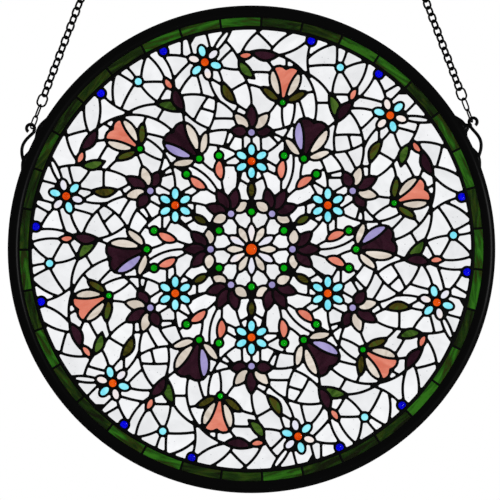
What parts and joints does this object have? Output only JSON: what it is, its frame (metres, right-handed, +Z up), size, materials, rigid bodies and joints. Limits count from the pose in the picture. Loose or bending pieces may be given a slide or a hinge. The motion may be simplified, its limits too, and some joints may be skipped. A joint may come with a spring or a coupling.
{
  "type": "round hanging stained glass panel",
  "caption": "Round stained glass panel in a black channel rim, with tulips, palmettes, blossoms and jewels on clear glass, a green border, scroll hangers and chains.",
  "frame": {"origin": "above the middle of the panel, between the two hanging rings and at the height of their tops", "axes": "+Z up, -Y out of the front of the panel, +X to the right seen from the front"},
  "size_m": [0.5588, 0.0118, 0.5844],
  "materials": {
    "rim_metal": "black, satin",
    "solder": "black patina, satin",
    "chain_metal": "black, satin",
    "border_glass": "streaky green",
    "clear_glass": "clear, seedy",
    "plum_glass": "dark plum",
    "salmon_glass": "opalescent salmon",
    "aqua_glass": "aqua, rounded",
    "orange_glass": "orange jewel",
    "lilac_glass": "opalescent lilac",
    "cream_glass": "opalescent cream",
    "olive_glass": "mottled olive",
    "leaf_glass": "mottled green",
    "green_glass": "green jewel",
    "blue_glass": "blue jewel",
    "pearl_glass": "pale opalescent"
  },
  "bodies": {
    "root": {"rim": "rim_metal", "border_glass": "border_glass", "solder_lattice": "solder", "centre_jewel": "orange_glass", "palmette_inner_1": "plum_glass", "palmette_inner_2": "plum_glass", "palmette_inner_3": "plum_glass", "palmette_inner_4": "plum_glass", "palmette_inner_5": "plum_glass", "palmette_inner_6": "plum_glass", "blossom_1": "aqua_glass", "blossom_2": "aqua_glass", "blossom_3": "aqua_glass", "blossom_4": "aqua_glass", "blossom_5": "aqua_glass", "blossom_6": "aqua_glass", "palmette_outer_1": "plum_glass", "palmette_outer_2": "plum_glass", "palmette_outer_3": "plum_glass", "palmette_outer_4": "plum_glass", "palmette_outer_5": "plum_glass", "palmette_outer_6": "plum_glass", "tulip_plum_1": "plum_glass", "tulip_plum_2": "plum_glass", "tulip_plum_3": "plum_glass", "tulip_plum_4": "plum_glass", "tulip_plum_5": "plum_glass", "tulip_plum_6": "plum_glass", "tulip_salmon_1": "salmon_glass", "tulip_salmon_2": "salmon_glass", "tulip_salmon_3": "salmon_glass", "tulip_salmon_4": "salmon_glass", "tulip_salmon_5": "salmon_glass", "tulip_salmon_6": "salmon_glass", "ground_1": "clear_glass", "ground_2": "clear_glass", "ground_3": "clear_glass", "ground_4": "clear_glass", "ground_5": "clear_glass", "ground_6": "clear_glass", "centre_ground_1": "clear_glass", "centre_ground_2": "clear_glass", "centre_ground_3": "clear_glass", "centre_ground_4": "clear_glass", "centre_ground_5": "clear_glass", "centre_ground_6": "clear_glass", "hanger_left": "rim_metal", "chain_left": "chain_metal", "ring_left": "chain_metal", "hanger_right": "rim_metal", "chain_right": "chain_metal", "ring_right": "chain_metal"}
  },
  "joints": []
}
